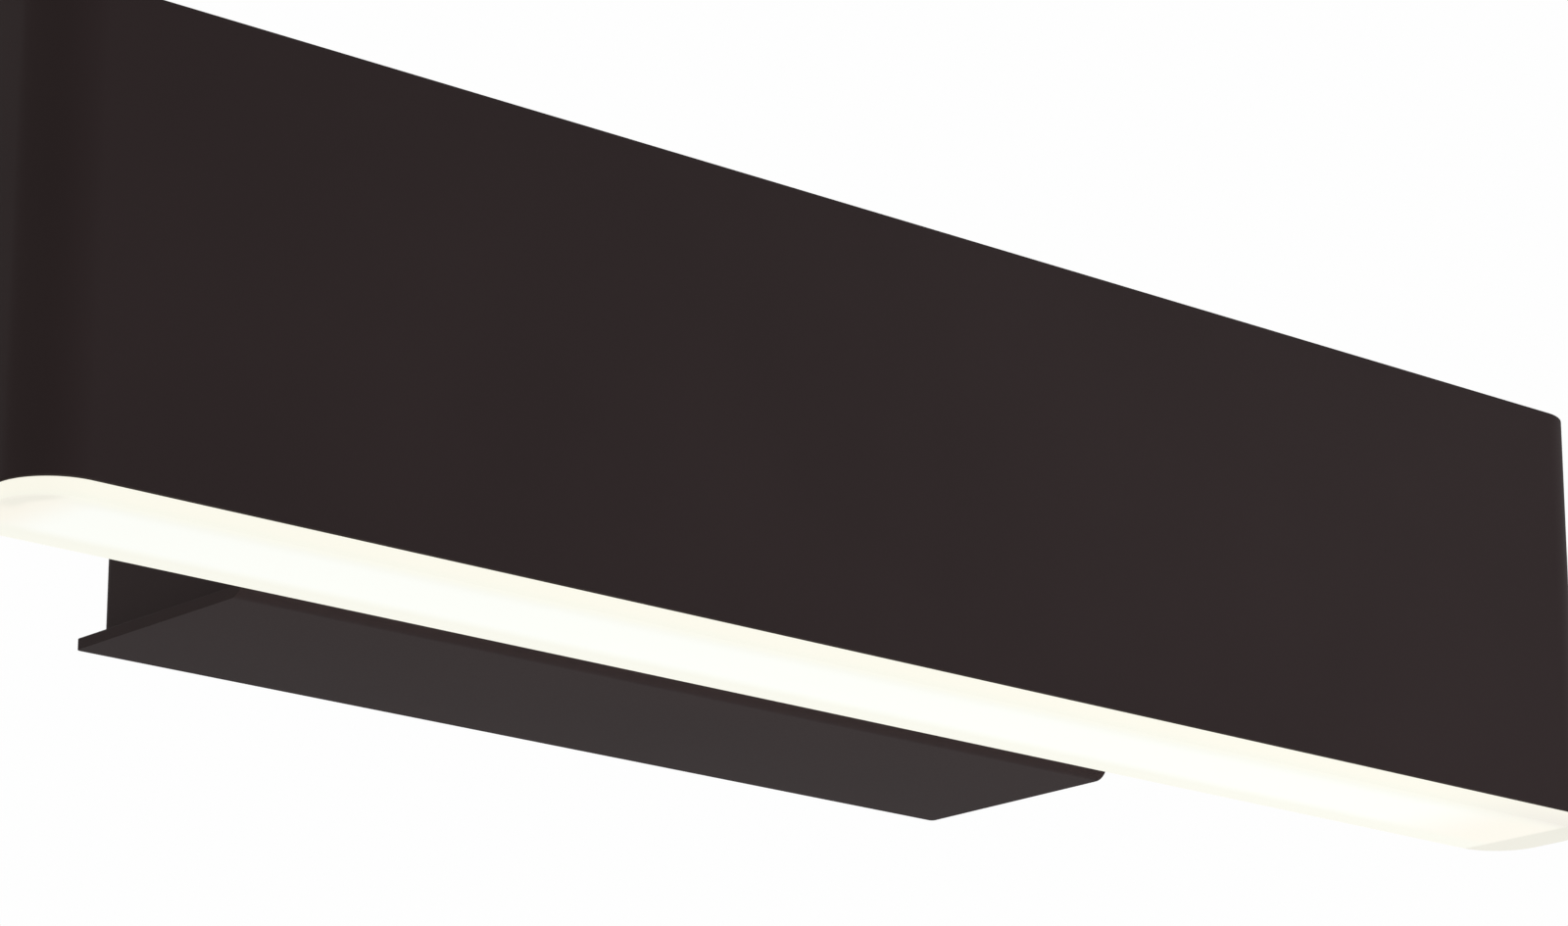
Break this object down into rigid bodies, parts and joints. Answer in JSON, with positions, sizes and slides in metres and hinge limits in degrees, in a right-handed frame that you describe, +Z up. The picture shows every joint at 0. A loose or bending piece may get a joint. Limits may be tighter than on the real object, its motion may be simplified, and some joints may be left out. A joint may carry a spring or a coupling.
{
  "type": "led wall light",
  "caption": "Long slim rectangular wall light: a rounded dark metal sleeve over a flush opal down-light diffuser, held off a small folded wall canopy by two short stems.",
  "frame": {"origin": "middle of the wall bracket's back face, level with the middle of the light head's sleeve", "axes": "+X along the light's length (to the right seen from the room), +Y into the wall, +Z up"},
  "size_m": [0.36, 0.106, 0.0832],
  "materials": {
    "bare_aluminium": "mill finish",
    "black_insulation": "black wire insulation",
    "black_rubber": "moulded black",
    "blackened_steel": "black oxide, satin",
    "blue_insulation": "blue wire insulation",
    "brass": "plain",
    "brown_insulation": "brown wire insulation",
    "circuit_board": "green solder mask",
    "green_yellow_insulation": "green and yellow wire insulation",
    "natural_plastic": "moulded natural polyamide",
    "opal_acrylic": "opal, satin, lit from inside",
    "powder_coat": "fine matt dark brown-black powder coat",
    "red_insulation": "red wire insulation",
    "white_board": "white solder mask on an aluminium core",
    "white_plastic": "moulded white",
    "zinc_plated_steel": "bright zinc plate"
  },
  "bodies": {
    "root": {"board_screw_left": "zinc_plated_steel", "board_screw_middle": "zinc_plated_steel", "board_screw_right": "zinc_plated_steel", "cable_grommet": "black_rubber", "canopy_cover": "powder_coat", "canopy_nut_left": "zinc_plated_steel", "canopy_nut_right": "zinc_plated_steel", "canopy_washer_left": "zinc_plated_steel", "canopy_washer_right": "zinc_plated_steel", "cap_screw_left": "blackened_steel", "cap_screw_right": "blackened_steel", "clamp_screw_1": "brass", "clamp_screw_2": "brass", "clamp_screw_3": "brass", "clamp_screw_4": "brass", "clamp_screw_5": "brass", "clamp_screw_6": "brass", "cover_screw_left": "blackened_steel", "cover_screw_right": "blackened_steel", "diffuser": "opal_acrylic", "driver_board": "circuit_board", "driver_case": "white_plastic", "driver_lid": "white_plastic", "driver_screw_left": "zinc_plated_steel", "driver_screw_right": "zinc_plated_steel", "earth_screw": "zinc_plated_steel", "earth_tag": "zinc_plated_steel", "earth_wire": "green_yellow_insulation", "head_nut_left": "zinc_plated_steel", "head_nut_right": "zinc_plated_steel", "head_sleeve": "powder_coat", "head_top_cap": "powder_coat", "head_washer_left": "zinc_plated_steel", "head_washer_right": "zinc_plated_steel", "inner_frame": "bare_aluminium", "lamp_wire_minus": "black_insulation", "lamp_wire_plus": "red_insulation", "led_board": "white_board", "live_wire": "brown_insulation", "neutral_wire": "blue_insulation", "nipple_left": "zinc_plated_steel", "nipple_right": "zinc_plated_steel", "reflector": "white_plastic", "stem_left": "powder_coat", "stem_right": "powder_coat", "terminal_block": "natural_plastic", "terminal_screw": "zinc_plated_steel", "wall_bracket": "powder_coat"}
  },
  "joints": []
}
